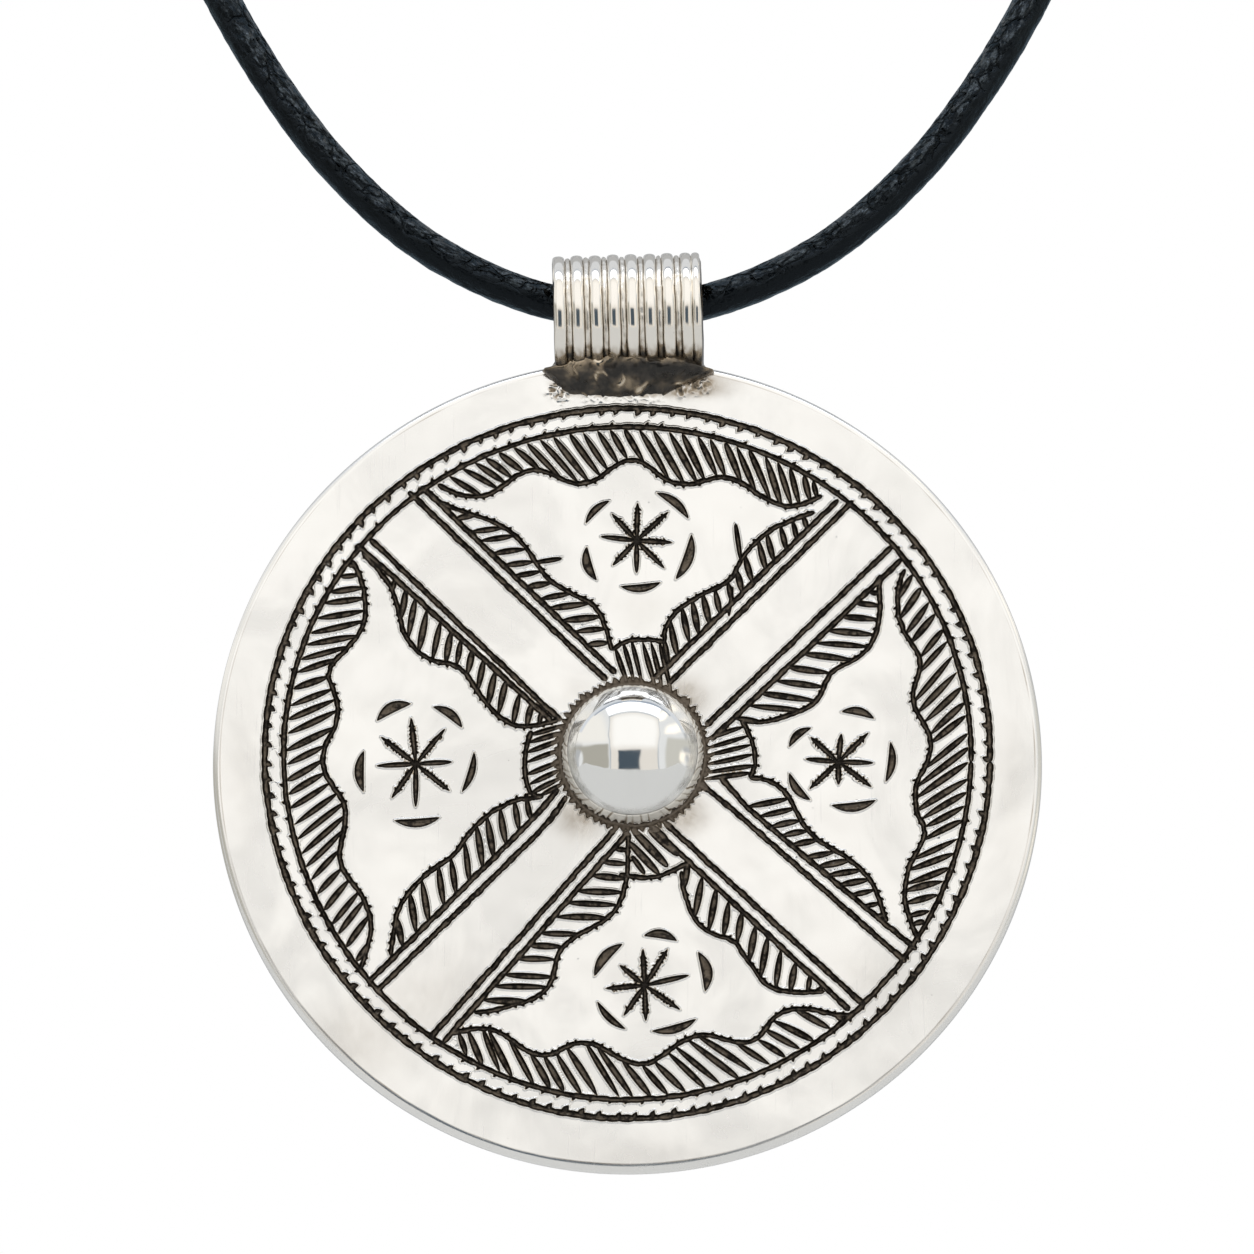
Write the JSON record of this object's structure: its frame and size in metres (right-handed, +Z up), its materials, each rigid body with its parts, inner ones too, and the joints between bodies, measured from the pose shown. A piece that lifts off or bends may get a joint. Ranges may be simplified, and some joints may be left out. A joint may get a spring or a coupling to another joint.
{
  "type": "tuareg amulet pendant on a leather neck cord",
  "caption": "Round engraved silver pendant with a domed boss and a ribbed tube bail, swinging on a round black leather neck cord closed by a plain barrel clasp.",
  "frame": {"origin": "middle of the neck's opening, at the height of the nape, where the cord goes round the neck", "axes": "+Z up as worn; -Y is the front, where the engraved face looks; +X is to the right of someone who looks at that face"},
  "size_m": [0.1144, 0.1251, 0.1637],
  "materials": {
    "silver": "polished by hand and worn, with blackened engraving and a brown tarnish beside the solder",
    "leather": "black, lightly glossy, cracked grain",
    "clasp_silver": "satin polished"
  },
  "bodies": {
    "cord": {"neck_cord": "leather", "clasp": "clasp_silver"},
    "pendant": {"pendant": "silver"}
  },
  "joints": [
    {"name": "pendant_swing", "type": "hinge", "parent": "cord", "child": "pendant", "pos_m": [0, -0.059, -0.101], "axis": [1, 0, 0], "range_deg": [-90, 90]}
  ]
}
